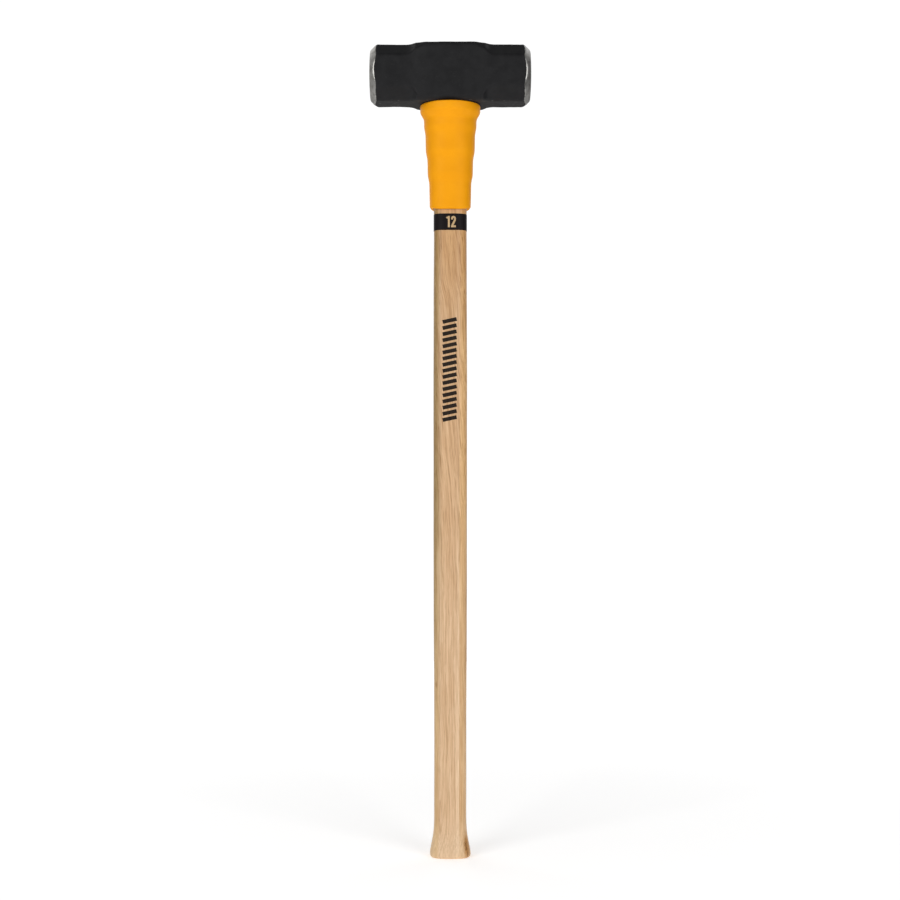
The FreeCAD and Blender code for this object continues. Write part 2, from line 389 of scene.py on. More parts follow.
def tints_and_painted_shade(s, colour):
    """The left side is darker with painted shade, both edges are yellower, and all is warmer near
    the head.
    """
    x, _, z = s.axes(s.place)
    wave = s.drawn_out(s.place, across=0.1, upward=0.012)
    across = s.plus(x, s.times(s.minus(wave, 0.5), 5.0))
    # painted shade: the left side is darkened and dulled, more so higher up, where the light falls
    # off it
    left = s.times(s.ramp(across, -17.0, -8.0, 1.0, 0.0), s.ramp(z, 60.0, 420.0, 0.12, 0.95))
    right = s.ramp(x, 9.5, 11.5)
    middle = s.times(s.ramp(z, 260.0, 440.0), s.ramp(z, 560.0, 690.0, 1.0, 0.0))
    return s.layered(
        colour,
        (left, (0.58, 0.63, 0.60)),
        (s.ramp(across, -16.0, -11.0, 1.0, 0.0), (1.0, 0.97, 0.80)),
        (right, (1.0, 0.95, 0.81)),
        (s.times(right, middle), (1.16, 1.21, 1.21)),
        (s.ramp(z, 250.0, 480.0), (0.915, 0.86, 0.79)),
        (s.ramp(z, 590.0, 700.0), (0.945, 0.875, 0.75)),
        blend="MULTIPLY",
    )


def way_from(s, centre, squeeze, fibre, ragged):
    """Distance from a knot's centre, squeezed along each axis and made ragged by the fibres."""
    offset = s.vector("MULTIPLY", s.vector("SUBTRACT", s.place, centre), squeeze)
    return s.affine(fibre, ragged, s.vector("LENGTH", offset))


def hickory_material():
    """Lacquered hickory: growth rings about a pith behind the handle, fibres and pores."""
    s = Shader("hickory")
    x, y, z = s.axes(s.place)

    # the grain runs a little aslant in the upper half: every pattern shares this drift
    bend = s.minus(s.drawn_out(s.place, across=0.012, upward=0.0105), 0.5)
    bend = s.times(bend, s.ramp(z, 180.0, 480.0, 7.0, 17.0))
    drift = s.plus(bend, s.ramp(z, 330.0, 780.0, 0.0, 36.0))
    grain = s.joined(s.plus(x, drift), y, z)
    line = growth_rings(s, grain)
    fibre = s.drawn_out(grain, across=1.15, upward=0.032, detail=3.0, roughness=0.68)
    streak = s.drawn_out(grain, across=0.30, upward=0.008, detail=3.0, roughness=0.6)
    stroke = s.drawn_out(grain, across=0.62, upward=0.017, detail=3.0, roughness=0.7)
    pore = s.drawn_out(grain, across=2.6, upward=0.075, detail=1.0)
    pore = s.times(s.ramp(pore, 0.60, 0.68), s.affine(line, 0.8, 0.2))

    colour = s.layered(
        s.mix(s.ramp(streak, 0.34, 0.66), WOOD_TAN, WOOD_LIGHT),
        (s.times(line, 0.5), WOOD_RING),
        (s.ramp(fibre, 0.52, 0.76, 0.0, 0.7), WOOD_FIBRE),
        (s.ramp(fibre, 0.26, 0.46, 0.6, 0.0), WOOD_PALE),
        (s.times(s.ramp(stroke, 0.54, 0.66), s.ramp(z, 220.0, 520.0, 0.45, 0.85)), WOOD_STROKE),
        (s.ramp(stroke, 0.34, 0.46, 0.38, 0.0), WOOD_PALE),
        (s.times(pore, 0.6), WOOD_PORE),
    )
    colour = tints_and_painted_shade(s, colour)

    # pale streaks down the lower half, just left of where the yellower side begins
    strip = s.minus(s.affine(bend, 0.12, x), PALE_STRIP_X)
    strip = s.ramp(s.math("ABSOLUTE", strip), 1.2, 2.1, 1.0, 0.0)
    strip = s.times(strip, s.ramp(z, 100.0, 420.0, 0.5, 0.0))
    strip = s.times(strip, s.ramp(fibre, 0.40, 0.60, 1.0, 0.35))
    colour = s.mix(strip, colour, (0.88, 0.65, 0.43))
    colour = s.mix(s.ramp(z, 8.0, 55.0, 0.30, 0.0), colour, (0.86, 0.66, 0.45))

    # a brown knot with dark streaks low on the right of the flare
    knot = way_from(s, KNOT_PLACE, (0.16, 0.09, 0.040), fibre, 0.9)
    colour = s.mix(s.ramp(knot, 0.75, 1.35, 0.85, 0.0), colour, KNOT_BROWN)
    cracks = s.times(s.ramp(knot, 0.70, 1.15, 0.9, 0.0), s.ramp(stroke, 0.46, 0.56))
    colour = s.mix(cracks, colour, KNOT_DARK)

    # and a small one on the left, a fifth of the way up
    knot = way_from(s, SMALL_KNOT_PLACE, (0.42, 0.20, 0.15), fibre, 0.8)
    colour = s.mix(s.ramp(knot, 0.65, 1.25, 0.7, 0.0), colour, SMALL_KNOT_BROWN)

    # sawn end grain drinks the finish: darker and duller
    end = s.ramp(s.math("ABSOLUTE", s.normal_z()), 0.86, 0.97)
    colour = s.mix(s.times(end, 0.55), colour, WOOD_END)
    roughness = s.affine(fibre, 0.14, 0.36)
    roughness = s.affine(end, 0.30, roughness)
    relief = s.affine(line, -0.35, s.times(pore, -0.65))
    normal = s.bump(relief, 0.00010, 0.6)
    normal = s.bump(fibre, 0.00006, 0.5, Normal=normal)
    s.set(Base_Color=colour, Roughness=roughness, Normal=normal)
    return s.set(Coat_Weight=0.08, Coat_Roughness=0.3, Specular_IOR_Level=0.3)


PAINT_END = 84.0  # millimetres from the middle, about where the paint ends
PAINT_DEEP, PAINT_SOFT = (0.0082, 0.0082, 0.0090), (0.0118, 0.0118, 0.0127)
PAINT_LIGHTER_BELOW, PAINT_SCUFFED = (0.055, 0.055, 0.054), (0.20, 0.20, 0.19)
STEEL_DARK, STEEL_LIGHT, STEEL_STAIN = (0.30, 0.295, 0.28), (0.58, 0.57, 0.545), (0.20, 0.19, 0.17)


def forging_paint(s, scale_marks, under):
    """The paint's colour: uneven, lighter in broad patches on the underside, and scuffed most
    there.
    """
    paint = s.mix(s.ramp(scale_marks, 0.3, 0.7), PAINT_DEEP, PAINT_SOFT)
    marks = s.noise(s.vector("MULTIPLY", s.place, (0.22, 0.45, 0.45)), detail=4.0, roughness=0.7)
    # broad patches of the paint are made lighter where it faces down
    lighter_below = s.times(s.ramp(marks, 0.42, 0.60), s.times(under, 0.16))
    paint = s.mix(lighter_below, paint, PAINT_LIGHTER_BELOW)
    scuffs = s.times(s.ramp(marks, 0.61, 0.70), s.affine(under, 0.6, 0.03))
    return s.mix(scuffs, paint, PAINT_SCUFFED)


def forged_material():
    """Black painted forging with bare steel where the ends are ground."""
    s = Shader("forged_steel_painted")
    x, y, z = s.axes(s.place)
    middle_z = (HEAD_HIGH.z - arm_half()) / MM

    ragged = s.noise(s.place, scale=0.55, detail=3.0, roughness=0.6)
    ragged = s.times(s.minus(ragged, 0.5), 1.7)
    past_line = s.minus(s.math("ABSOLUTE", x), PAINT_END)
    ground = s.times(s.plus(s.attribute("ground"), past_line), 0.5)
    bare = s.ramp(s.plus(ground, ragged), -0.25, 0.25)

    scale_marks = s.noise(s.place, scale=0.10, detail=3.0, roughness=0.55)
    grit = s.noise(s.place, scale=1.3, detail=2.0)
    under = s.ramp(s.times(s.normal_z(), -1.0), 0.75, 0.95)

    # grinding marks run in circles about the head's axis
    from_axis = s.vector("LENGTH", s.joined(0.0, y, s.minus(z, middle_z)))
    turned = s.joined(from_axis, s.times(x, 0.6), 0.0)
    lines = s.noise(turned, scale=2.6, detail=4.0, roughness=0.75)
    blotch = s.noise(s.place, scale=0.16, detail=4.0, roughness=0.6)
    steel = s.mix(s.ramp(lines, 0.3, 0.7), STEEL_DARK, STEEL_LIGHT)
    steel = s.mix(s.ramp(blotch, 0.42, 0.72, 0.0, 0.65), steel, STEEL_STAIN)

    colour = s.mix(bare, forging_paint(s, scale_marks, under), steel)
    paint_rough = s.affine(scale_marks, 0.16, 0.44)
    paint_rough = s.affine(under, 0.14, paint_rough)
    steel_rough = s.affine(lines, 0.20, 0.29)
    rough_gap = s.minus(steel_rough, paint_rough)
    roughness = s.affine(bare, rough_gap, paint_rough)
    painted = s.minus(1.0, bare)
    relief = s.times(painted, s.affine(grit, 0.10, scale_marks))
    normal = s.bump(relief, 0.00045, 0.45)
    normal = s.bump(s.times(bare, lines), 0.00007, 0.7, Normal=normal)
    film = s.bump(painted, 0.00012, 0.8, Normal=normal)
    s.set(Base_Color=colour, Roughness=roughness, Metallic=bare, Normal=film)
    return s.set(Specular_IOR_Level=0.16)


def guard_material():
    """Moulded orange-yellow elastomer, evenly coloured, with a fine satin texture."""
    s = Shader("guard_yellow")
    cloud = s.noise(s.place, scale=0.05, detail=3.0)
    fine = s.noise(s.place, scale=2.4, detail=3.0, roughness=0.6)
    flow = s.drawn_out(s.place, across=0.25, upward=0.9)
    colour = s.mix(s.ramp(cloud, 0.3, 0.7), (0.86, 0.334, 0.0028), (0.895, 0.357, 0.0036))
    colour = s.mix(s.ramp(fine, 0.55, 0.8, 0.0, 0.16), colour, (0.74, 0.25, 0.003))
    roughness = s.affine(fine, 0.16, 0.44)
    normal = s.bump(fine, 0.00006, 0.5)
    normal = s.bump(flow, 0.00025, 0.35, Normal=normal)
    return s.set(Base_Color=colour, Roughness=roughness, Normal=normal, Specular_IOR_Level=0.10)


def band_material():
    """Black ink over wood, with the grain showing faintly through."""
    s = Shader("band_black")
    grain = s.drawn_out(s.place, across=1.6, upward=0.05, detail=3.0)
    fleck = s.noise(s.place, scale=1.8, detail=3.0, roughness=0.7)
    colour = s.mix(s.ramp(grain, 0.3, 0.7), (0.0085, 0.0064, 0.0072), (0.0125, 0.0098, 0.0106))
    colour = s.mix(s.ramp(fleck, 0.70, 0.78, 0.0, 0.25), colour, (0.07, 0.05, 0.035))
    roughness = s.affine(grain, 0.15, 0.38)
    s.set(Base_Color=colour, Roughness=roughness, Normal=s.bump(grain, 0.00008, 0.5))
    return s.set(Specular_IOR_Level=0.06)


def ink_material(name, dark, light, wear):
    """Printed ink, broken up a little by the wood's fibres."""
    s = Shader(name)
    fibre = s.drawn_out(s.place, across=2.2, upward=0.07, detail=3.0, roughness=0.6)
    speck = s.noise(s.place, scale=1.1, detail=3.0, roughness=0.65)
    colour = s.mix(s.ramp(fibre, 0.3, 0.75), dark, light)
    colour = s.mix(s.ramp(speck, 0.62, 0.76, 0.0, wear), colour, (0.42, 0.26, 0.13))
    roughness = s.affine(fibre, 0.2, 0.42)
    s.set(Base_Color=colour, Roughness=roughness, Normal=s.bump(fibre, 0.00005, 0.5))
    return s.set(Specular_IOR_Level=0.08)


def wedge_steel_material():
    """Soft steel, battered bright where a hammer drove it."""
    s = Shader("wedge_steel")
    dents = s.noise(s.place, scale=0.9, detail=3.0)
    stain = s.noise(s.place, scale=0.35, detail=4.0, roughness=0.65)
    colour = s.mix(s.ramp(stain, 0.4, 0.65), (0.46, 0.45, 0.43), (0.21, 0.19, 0.17))
    roughness = s.affine(dents, 0.3, 0.28)
    s.set(Base_Color=colour, Roughness=roughness, Normal=s.bump(dents, 0.0003, 0.7))
    return s.set(Metallic=0.9)


def wedge_wood_material():
    """A softer, paler wood seen on its crushed end."""
    s = Shader("wedge_wood")
    layers = s.noise(s.vector("MULTIPLY", s.place, (0.25, 2.2, 0.1)), detail=3.0)
    pits = s.noise(s.place, scale=2.5, detail=2.0)
    colour = s.mix(s.ramp(layers, 0.3, 0.7), (0.36, 0.22, 0.11), (0.60, 0.42, 0.24))
    colour = s.mix(s.ramp(pits, 0.6, 0.7, 0.0, 0.5), colour, (0.15, 0.08, 0.04))
    normal = s.bump(s.plus(layers, pits), 0.0003, 0.6)
    return s.set(Base_Color=colour, Roughness=0.7, Normal=normal)


# ---- handle and what is in its top ----
HANDLE_RING = 112
HANDLE_TOP_DROP = 0.35 * MM  # the tongue is sawn just below the head's top
SHAVE_WAVES = ((16 * MM, 0.20 * MM, 1), (5 * MM, 0.06 * MM, 2))  # size, height, seed
SHAVE_STRETCH = 0.22  # the waves' length across over that along
SHAVE_TOP, SHAVE_FADE = BAND_LOW.z - 2 * MM, 12 * MM
KERF_OVER, KERF_HALF_LENGTH = 0.03, 0.04


def oval_rings(levels, sizes, squareness):
    shares = even_shares(HANDLE_RING)
    return [oval_ring(w, d, squareness, shares, z) for z, (w, d) in zip(levels, sizes)]


def eye_rings(levels, grow=0.0):
    sizes = profile(node_tree_of("hammer_head"), levels, start=0)
    return oval_rings(levels, sizes + grow, EYE_SQUARENESS)


def shaft_levels():
    """Heights of the handle's rings: close at the butt's rounded edge and flare."""
    edge = [v * MM for v in (0.03, 0.15, 0.4, 0.8, 1.3, 1.9, 2.6)]
    flare = levels_between(3.4 * MM, 60 * MM, 1.4 * MM)
    shaft = levels_between(64 * MM, GUARD_LOW.z + 8 * MM, 4.5 * MM)
    shoulder = levels_between(GUARD_LOW.z + 13 * MM, GUARD_HIGH.z - 0.4 * MM, 6 * MM)
    return edge, flare + shaft + shoulder


def shave(rings):
    """Works the slight unevenness of a shaved and sanded handle into its rings."""
    shaved = []
    for ring in rings:
        height = sum(rumple(ring * (1, 1, SHAVE_STRETCH), *wave) for wave in SHAVE_WAVES)
        height *= float(smooth_step((SHAVE_TOP - ring[0][2]) / SHAVE_FADE))
        shaved.append(ring + outward(ring) * height[:, None])
    return shaved


def node_copy(node, name):
    """A new steel object with a CAD node's mesh, to cut with or to refine."""
    return new_piece(name, *points_and_faces(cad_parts[node]), "wedge_steel")


def kerf_cutter():
    """The split in the tongue: the wood wedge's taper, run past both ends and the top."""
    top = WEDGE_HIGH.y - WEDGE_LOW.y
    wide = top + (top - WEDGE_TIP) * KERF_OVER / (WEDGE_HIGH.z - WEDGE_LOW.z)
    low, high = WEDGE_LOW.z, WEDGE_HIGH.z + KERF_OVER
    corners = [(-wide / 2, high), (wide / 2, high), (WEDGE_TIP / 2, low), (-WEDGE_TIP / 2, low)]
    verts = [(x, y, z) for x in (-KERF_HALF_LENGTH, KERF_HALF_LENGTH) for y, z in corners]
    faces = [(0, 1, 2, 3), (7, 6, 5, 4)]
    faces += [(k, 4 + k, 4 + (k + 1) % 4, (k + 1) % 4) for k in range(4)]
    return new_piece("kerf", verts, faces, "wedge_wood")


def build_handle():
    edge_levels, body_levels = shaft_levels()
    sizes = stacked_sizes(node_tree_of("handle"), edge_levels, body_levels)
    rings = shave(oval_rings(edge_levels + body_levels, sizes, HANDLE_SQUARENESS))
    butt = [with_height(rings[0][:, :2] * share, 0.0) for share in (0.2, 0.4, 0.6, 0.8, 0.97)]
    seat = GUARD_HIGH.z
    shoulder = with_height(rings[-1][:, :2], seat)
    tongue = eye_rings([seat] + levels_between(seat + 1 * MM, HEAD_HIGH.z - 1 * MM, 4 * MM))
    top_z = HEAD_HIGH.z - HANDLE_TOP_DROP
    top = [with_height(tongue[-1][:, :2] * share, top_z) for share in (0.99, 0.8, 0.6, 0.4, 0.2)]
    stack = butt + rings + [shoulder] + tongue + top
    verts, faces = capped_tube(stack, (0, 0, 0), (0, 0, top_z))
    handle = new_piece("handle_hickory", verts, faces, "hickory")
    combine(handle, kerf_cutter(), "DIFFERENCE")
    for side in ("left", "right"):
        combine(handle, node_copy(f"steel_wedge_{side}", "cutter"), "DIFFERENCE")
    handle.data.set_sharp_from_angle(angle=SHARP_EDGE)
    return finish_piece(handle, "hickory", "handle")


BATTER_BEVEL = 0.35 * MM
BATTER_ZONE, BATTER_EDGE = 1.5 * MM, 0.9 * MM  # how deep the top is divided, and how finely
BATTER_DEPTH = 1.0 * MM  # below this the blows leave no mark


def batter_top(piece, height, feature, seed):
    """Drops a driven wedge's top unevenly, as hammer blows leave it."""
    work = bmesh.new()
    work.from_mesh(piece.data)
    top_z = max(v.co.z for v in work.verts)

    def top_edges(depth):
        return [e for e in work.edges if all(top_z - v.co.z < depth for v in e.verts)]

    bmesh.ops.bevel(work, geom=top_edges(1e-6), offset=BATTER_BEVEL, segments=2, affect="EDGES")
    bmesh.ops.triangulate(work, faces=work.faces)
    for _ in range(3):
        near = [e for e in top_edges(BATTER_ZONE) if e.calc_length() > BATTER_EDGE]
        bmesh.ops.subdivide_edges(work, edges=near, cuts=1)
        bmesh.ops.triangulate(work, faces=work.faces)
    for v in work.verts:
        depth = top_z - v.co.z
        if depth < BATTER_DEPTH:
            drop = height * (0.5 + noise.noise(v.co / feature + Vector((seed, 0, 0))))
            v.co.z -= max(0.0, drop) * (1 - depth / BATTER_DEPTH)
    work.to_mesh(piece.data)
    work.free()
    piece.data.shade_smooth()
    piece.data.set_sharp_from_angle(angle=BATTERED_SHARP_EDGE)


def build_wedges():
    levels = levels_between(WEDGE_LOW.z - 3 * MM, HEAD_HIGH.z - 1 * MM, 4 * MM)
    rings = eye_rings(levels, grow=-0.02 * MM)
    top_z = HEAD_HIGH.z - 0.15 * MM
    rings.append(with_height(rings[-1][:, :2], top_z))
    verts, faces = capped_tube(rings, (0, 0, levels[0]), (0, 0, top_z))
    wood = new_piece("wood_wedge_driven", verts, faces, "wedge_wood")
    combine(wood, kerf_cutter(), "INTERSECT")
    for index, side in enumerate(("left", "right")):
        node = f"steel_wedge_{side}"
        combine(wood, node_copy(node, "cutter"), "DIFFERENCE")
        steel = node_copy(node, f"{node}_driven")
        batter_top(steel, 0.5 * MM, 2.5 * MM, 11 + index)
        finish_piece(steel, "bare_steel", node)
    batter_top(wood, 0.6 * MM, 3 * MM, 5)
    finish_piece(wood, "wedge_wood", "wood_wedge")


# ---- head ----
ARM_EDGE = 2.6 * MM  # how far the edges between the flats are eased
BOSS_EDGE_GAIN = 0.4 * MM  # and how much farther over the boss
EDGE_SHARE = 0.45  # the most of a side that an eased edge may take
BOSS_EASE_FROM, BOSS_EASE_RUN = 26 * MM, 12 * MM
BOSS_EASE_TOP, BOSS_EASE_BOTTOM = 4.2 * MM, 1.2 * MM
LEAST_CHAMFER, CHAMFER_BLEND = 3.2 * MM, 4.0 * MM
FLAT_SPANS = (14, 8, 14, 8, 14, 8, 14, 8)  # faces along each flat of the octagon
CORNER_SPANS = 4
ARM_BEND, RIM_BEND, BEND_SPANS = 1.8 * MM, 1.1 * MM, 5
NOT_GROUND = 15 * MM  # how far the boss counts as lying before the bevels
FORGE_BROAD, FORGE_SMALL = (21 * MM, 0.42 * MM, 3), (6.5 * MM, 0.14 * MM, 4)
FORGE_SINK = 0.22 * MM
EYE_LIP, EYE_INNER_LIP = 0.9 * MM, 0.3 * MM
EYE_GROUND = -30.0  # the broken edge of the eye is painted


def arm_half():
    """Half the size of the arms across their flats."""
    return (HEAD_HIGH.z - HEAD_LOW.z - SEAT_RISE) / 2


def arm_plane():
    """Distance of the arms' chamfer planes from the head's axis."""
    return (2 * arm_half() - ARM_CHAMFER) / math.sqrt(2)


def section_at(x):
    """The head's section at x as eight (y, z) corners about its axis, from the front flat."""
    half = arm_half()
    rise = float(smooth_step((BOSS_ROOT - abs(x)) / (BOSS_ROOT - BOSS_CROWN)))
    cheek_rise = HEAD_HIGH.y - half
    depth = half + cheek_rise * rise
    up, down = half, half + SEAT_RISE * rise
    inward = min(max(CHAMFER_END - abs(x), 0.0), SCOOP_RADIUS)
    plane = arm_plane() + SCOOP_RADIUS - math.sqrt(SCOOP_RADIUS ** 2 - inward ** 2)
    boss = 2 * half + cheek_rise + SEAT_RISE / 2 - BOSS_CHAMFER
    near_end = float(smooth_step((abs(x) - BOSS_EASE_FROM) / BOSS_EASE_RUN))

    def leg(height, ease):
        """Leg of the chamfer where the side meets the top or the bottom."""
        corner = depth + height
        arm_leg, boss_leg = corner - math.sqrt(2) * plane, corner - boss
        least = max(boss_leg, LEAST_CHAMFER) + ease * near_end
        overlap = max(CHAMFER_BLEND - abs(arm_leg - least), 0.0)
        return max(arm_leg, least) + (overlap ** 2) / (4 * CHAMFER_BLEND)

    a, b = leg(up, BOSS_EASE_TOP), leg(down, BOSS_EASE_BOTTOM)
    return [
        (-depth, -down + b), (-depth, up - a), (-depth + a, up), (depth - a, up),
        (depth, up - a), (depth, -down + b), (depth - b, -down), (-depth + b, -down),
    ]


def bend_points(enter, corner, leave, spans):
    """Points of a smooth bend from enter to leave, drawn towards the corner."""
    points = []
    for i in range(spans + 1):
        t = i / spans
        points.append((1 - t) ** 2 * enter + 2 * t * (1 - t) * corner + t * t * leave)
    return points


def rounded_section(corners, edge_round):
    """Points round the section, with each corner eased over edge_round to either side."""
    corners = np.array(corners)
    points = []
    for k in range(8):
        before, here, after = corners[k - 1], corners[k], corners[(k + 1) % 8]
        back_side, side = norm(before - here), norm(after - here)
        back_ease = min(edge_round, EDGE_SHARE * back_side)
        ease = min(edge_round, EDGE_SHARE * side)
        enter = here + (before - here) / back_side * back_ease
        leave = here + (after - here) / side * ease
        far = after + (here - after) / side * ease
        points += bend_points(enter, here, leave, CORNER_SPANS)
        for i in range(1, FLAT_SPANS[k]):
            points.append(leave + (far - leave) * i / FLAT_SPANS[k])
    return np.array(points)


def eased(before, corner, after, ease):
    """Points round a bend of a path, eased over the same distance to either side."""
    enter = corner + (before - corner) / norm(before - corner) * ease
    leave = corner + (after - corner) / norm(after - corner) * ease
    return bend_points(enter, corner, leave, BEND_SPANS)


def end_path(arm_radius, from_x):
    """The way from an arm's side over the ground bevel to the middle of the crowned face.

    Gives (x, distance from the axis, distance past the bevel's edge) rows.
    """
    length = HEAD_HIGH.x
    rim_x = length - FACE_CROWN
    edge = np.array([rim_x - (arm_radius - FACE_RADIUS), arm_radius])
    rim = np.array([rim_x, FACE_RADIUS])
    start = np.array([from_x, arm_radius])
    inner = np.array([length - FACE_CROWN * 0.8, FACE_RADIUS * 0.9])
    arm_bend = eased(start, edge, rim, ARM_BEND)
    rim_bend = eased(edge, rim, inner, RIM_BEND)
    arm = [start + (arm_bend[0] - start) * t for t in np.linspace(0, 1, 13)[:-1]]
    cone = [arm_bend[-1] + (rim_bend[0] - arm_bend[-1]) * t for t in np.linspace(0, 1, 8)[1:-1]]
    face = []
    for radius in np.linspace(rim_bend[-1][1], 0, 13)[1:-1]:
        face.append(np.array([length - FACE_CROWN * (radius / FACE_RADIUS) ** 2, radius]))
    path = arm + arm_bend + cone + rim_bend + face
    return [(p[0], p[1], signed_way(p, edge)) for p in path]


def signed_way(point, edge):
    """Distance of a path point past the bevel's outer edge: negative along the arm."""
    way = math.hypot(point[0] - edge[0], point[1] - edge[1])
    return way if point[1] < edge[1] - 0.2 * MM else -way


def head_stations():
    """Places of the rings along the head's middle, closer where its section changes."""
    outer = list(np.linspace(62, 58, 4)[:-1]) + list(np.linspace(58, 34, 33)[:-1])
    inner = list(np.linspace(34, 22, 10)[:-1]) + list(np.linspace(22, 0, 11))
    right = [v * MM for v in outer + inner]
    return right + [-v for v in right[-2::-1]]


def end_rings(outward_yz, paths, side):
    """Rings from an arm to the middle of its face, and their distances past the bevel's edge."""
    rings, ground = [], []
    for step in range(len(paths[0])):
        rows = np.array([path[step] for path in paths])
        rings.append(np.column_stack([side * rows[:, 0], outward_yz * rows[:, 1:2]]))
        ground.append(rows[:, 2])
    return rings, ground


def mark_ground(piece, distances):
    """Stores how far each point is past the bevel's edge, in millimetres, for the material."""
    layer = piece.data.attributes.new("ground", "FLOAT", "POINT")
    layer.data.foreach_set("value", np.asarray(distances, np.float32))


def build_head():
    stations = head_stations()
    arm_section = rounded_section(section_at(stations[0]), ARM_EDGE)
    radii = norm(arm_section, axis=1)
    paths = [end_path(r, stations[0]) for r in radii]
    right_rings, right_ground = end_rings(arm_section / radii[:, None], paths, 1)
    left_rings, left_ground = end_rings(arm_section / radii[:, None], paths, -1)

    rings, ground = right_rings[:0:-1], right_ground[:0:-1]
    for x in stations:
        share = float(smooth_step((CHAMFER_END - abs(x)) / (CHAMFER_END - BOSS_CROWN)))
        section = rounded_section(section_at(x), ARM_EDGE + BOSS_EDGE_GAIN * share)
        rings.append(np.column_stack([np.full(len(section), x), section]))
        ground.append(np.full(len(section), abs(x) - abs(stations[0]) - NOT_GROUND))
    rings += left_rings[1:]
    ground += left_ground[1:]

    centre = HEAD_HIGH.x
    verts, faces = capped_tube(rings, (centre, 0, 0), (-centre, 0, 0))
    distances = np.concatenate(ground + [np.full(2, FACE_RADIUS)])
    points = forge(np.array(verts), faces, distances)
    points[:, 2] += HEAD_HIGH.z - arm_half()
    points = np.clip(points, np.array(HEAD_LOW), np.array(HEAD_HIGH))
    head = new_piece("hammer_head_forged", points, faces, "forged")
    mark_ground(head, distances / MM)
    cut_eye(head)
    head.data.set_sharp_from_angle(angle=HEAD_SHARP_EDGE)
    return finish_piece(head, "head_paint", "hammer_head")


def forge(points, faces, ground):
    """Die-forged unevenness on what isn't ground: broad waves and small pocks, inward."""
    normals = np.zeros_like(points)
    for face in faces:
        a, b, c = points[face[0]], points[face[1]], points[face[2]]
        across = np.cross(b - a, c - a)
        for k in face:
            normals[k] += across
    lengths = norm(normals, axis=1, keepdims=True)
    normals /= np.where(lengths > 0, lengths, 1)
    if (normals * points).sum() < 0:
        normals = -normals
    broad, small = rumple(points, *FORGE_BROAD), rumple(points, *FORGE_SMALL)
    share = smooth_step((-ground - 0.4 * MM) / (3 * MM))
    return points + normals * ((broad + small - FORGE_SINK) * share)[:, None]


def cut_eye(head):
    """Opens the tapered eye, with a small broken edge at both of its mouths."""
    low, high = HEAD_LOW.z, HEAD_HIGH.z
    levels = [low + EYE_INNER_LIP] + levels_between(low + EYE_LIP, high - EYE_LIP, 4 * MM)
    rings = eye_rings(levels + [high - EYE_INNER_LIP], grow=0.03 * MM)
    shares = even_shares(HANDLE_RING)
    for end, z, past in ((0, low, low - 4 * MM), (-1, high, high + 4 * MM)):
        ring = rings[end]
        width, depth = ring[:, 0].max(), ring[:, 1].max()
        mouths = [
            oval_ring(width + grow, depth + grow, EYE_SQUARENESS, shares, at)
            for grow, at in ((EYE_LIP, z), (5 * EYE_LIP, past))
        ]
        rings = mouths[::-1] + rings if end == 0 else rings + mouths
    verts, faces = capped_tube(rings, (0, 0, rings[0][0][2]), (0, 0, rings[-1][0][2]))
    cutter = new_piece("eye_cutter", verts, faces, "forged")
    mark_ground(cutter, np.full(len(cutter.data.vertices), EYE_GROUND))
    combine(head, cutter, "DIFFERENCE")


# ---- guard ----
RIM_ROUND = 1.3 * MM
SEAM_HEIGHT, SEAM_WIDTH = 0.22 * MM, 0.45 * MM
SEAM_OFFSETS = (0.0, 0.35, 0.8, 1.5)  # mm from the mould's parting line, either way
GUARD_POINTS = 144
GUARD_WAVES, GUARD_SINK = (24 * MM, 0.10 * MM, 6), 0.04 * MM  # size, height, seed
BORE_GAP, MOUTH_GAP = 0.05 * MM, 0.45 * MM
SIDE_LIFT = 2.6 * MM  # how much higher the lower edge is at the sides
SIDE_LIFT_FADE = 14.0 * MM


def seamed_shares(count, length):
    """Even shares of a ring, with extra points close to the parting line at +X and -X."""
    shares = set(np.round(even_shares(count), 9))
    for middle in (0.0, 0.5):
        for offset in SEAM_OFFSETS:
            for sign in (-1, 1):
                shares.add(round((middle + sign * offset * MM / length) % 1.0, 9))
    return np.array(sorted(shares))


def guard_sleeve(levels, sizes, shares):
    """Rings up the outside, with slow waves and a fine ridge at the parting line."""
    low, high = GUARD_LOW.z, GUARD_HIGH.z
    near = np.minimum(np.abs(shares - 0.5), np.minimum(shares, 1 - shares))
    seam = SEAM_HEIGHT * np.exp(-((near * 2 * math.pi * GUARD_HIGH.x / SEAM_WIDTH) ** 2))
    rings = []
    for z, (width, depth) in zip(levels, sizes):
        share = (z - low) / (high - low)
        squareness = GUARD_END_SQUARENESS + share * (GUARD_RIM_SQUARENESS - GUARD_END_SQUARENESS)
        ring = oval_ring(width, depth, squareness, shares, z)
        waves = rumple(ring, *GUARD_WAVES) + seam - GUARD_SINK
        rings.append(ring + outward(ring) * waves[:, None])
    return rings


def guard_rim(last):
    """Rings over the rounded upper edge, from the sleeve's last ring."""
    rings = []
    for turn in (15, 35, 55, 75, 90):
        c, si = math.cos(math.radians(turn)), math.sin(math.radians(turn))
        inset = 1 - RIM_ROUND * (1 - c) / GUARD_HIGH.x
        z = GUARD_HIGH.z - RIM_ROUND + RIM_ROUND * si
        rings.append(with_height(last[:, :2] * inset, z))
    return rings


def guard_bore(shares):
    """Rings down the inside, just clear of the handle and wider at the lower mouth."""
    tree = node_tree_of("handle")
    low, high = GUARD_LOW.z, GUARD_HIGH.z
    rings = []
    for z, gap in ((high, BORE_GAP), (high - 4 * MM, BORE_GAP), (low + 4 * MM, BORE_GAP),
                   (low + 0.5 * MM, MOUTH_GAP)):
        width, depth = half_sizes(tree, min(z, high - 0.5 * MM))
        rings.append(oval_ring(width + gap, depth + gap, HANDLE_SQUARENESS, shares, z))
    return rings


